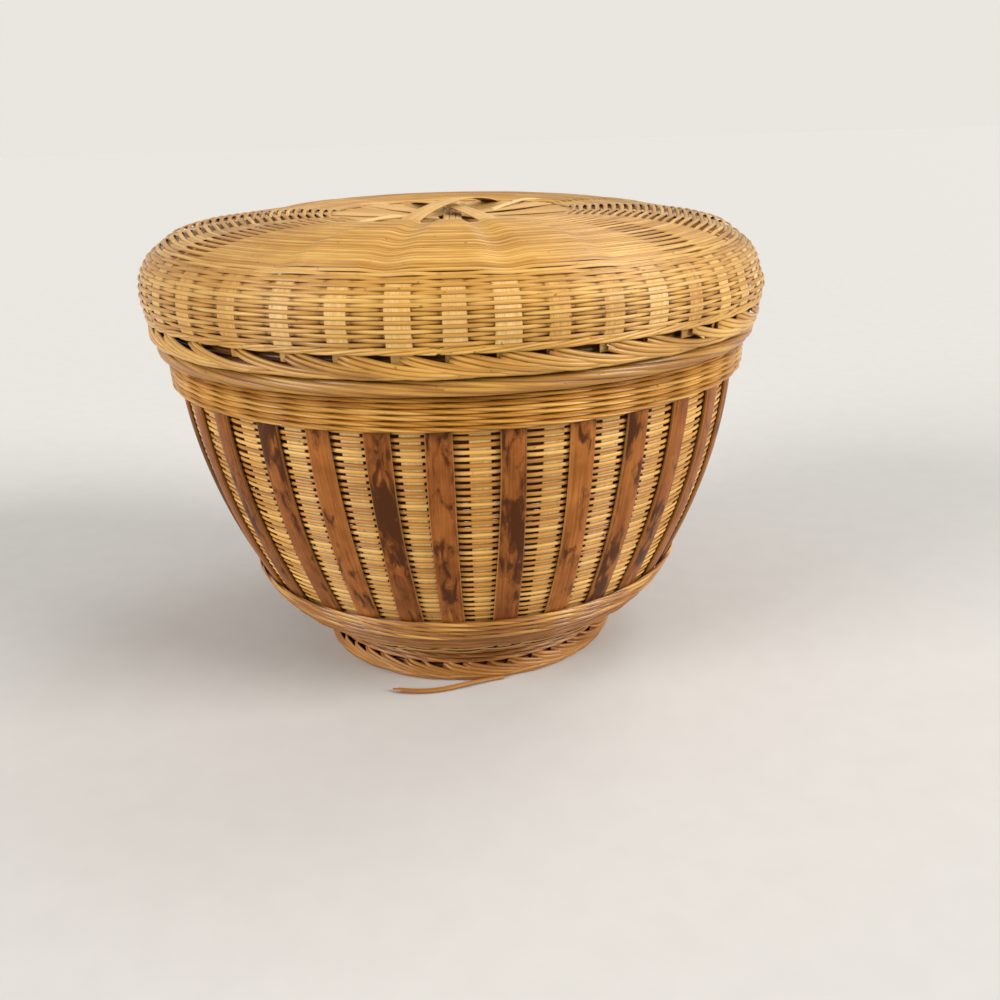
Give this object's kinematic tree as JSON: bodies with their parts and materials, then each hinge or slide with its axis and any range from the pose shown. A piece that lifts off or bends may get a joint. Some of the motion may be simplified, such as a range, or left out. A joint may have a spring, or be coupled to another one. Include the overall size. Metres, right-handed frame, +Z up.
{
  "type": "woven food basket",
  "caption": "Round woven cane food basket with brown bamboo slats, a plaited foot ring and a domed lift-off lid.",
  "frame": {"origin": "middle of the plane that the foot ring stands on, at the bottom centre of the bounding box", "axes": "+Z up along the basket's axis; the front, with the loose reed end, faces -Y"},
  "size_m": [0.3106, 0.3106, 0.2286],
  "materials": {
    "varnished_cane": "varnished golden split cane",
    "pale_cane": "thinly varnished pale cane strips",
    "brown_bamboo": "varnished brown bamboo with scorch marks",
    "orange_cane": "varnished orange-brown cane"
  },
  "bodies": {
    "basket": {"base_weave": "varnished_cane", "wall_weave": "varnished_cane", "wall_stakes": "pale_cane", "slat_01": "brown_bamboo", "slat_02": "brown_bamboo", "slat_03": "brown_bamboo", "slat_04": "brown_bamboo", "slat_05": "brown_bamboo", "slat_06": "brown_bamboo", "slat_07": "brown_bamboo", "slat_08": "brown_bamboo", "slat_09": "brown_bamboo", "slat_10": "brown_bamboo", "slat_11": "brown_bamboo", "slat_12": "brown_bamboo", "slat_13": "brown_bamboo", "slat_14": "brown_bamboo", "slat_15": "brown_bamboo", "slat_16": "brown_bamboo", "slat_17": "brown_bamboo", "slat_18": "brown_bamboo", "slat_19": "brown_bamboo", "slat_20": "brown_bamboo", "slat_21": "brown_bamboo", "slat_22": "brown_bamboo", "slat_23": "brown_bamboo", "slat_24": "brown_bamboo", "slat_25": "brown_bamboo", "slat_26": "brown_bamboo", "slat_27": "brown_bamboo", "slat_28": "brown_bamboo", "slat_29": "brown_bamboo", "slat_30": "brown_bamboo", "slat_31": "brown_bamboo", "upper_band": "varnished_cane", "lower_band": "varnished_cane", "base_hoop": "orange_cane", "rim_roll": "varnished_cane", "collar_hoop": "pale_cane", "foot_wall": "orange_cane", "foot_braid": "orange_cane", "loose_reed_end": "orange_cane"},
    "lid": {"lid_weave": "varnished_cane", "lid_stakes": "pale_cane", "lid_braid": "varnished_cane", "lid_hub_strap_1": "pale_cane", "lid_hub_strap_2": "pale_cane", "lid_hub_strap_3": "pale_cane", "lid_hub_strap_4": "pale_cane", "lid_hub_strap_5": "pale_cane", "lid_hub_strap_6": "pale_cane"}
  },
  "joints": [
    {"name": "lid_lift", "type": "slide", "parent": "basket", "child": "lid", "axis": [0, 0, 1], "range_m": [0, 0.12]}
  ]
}
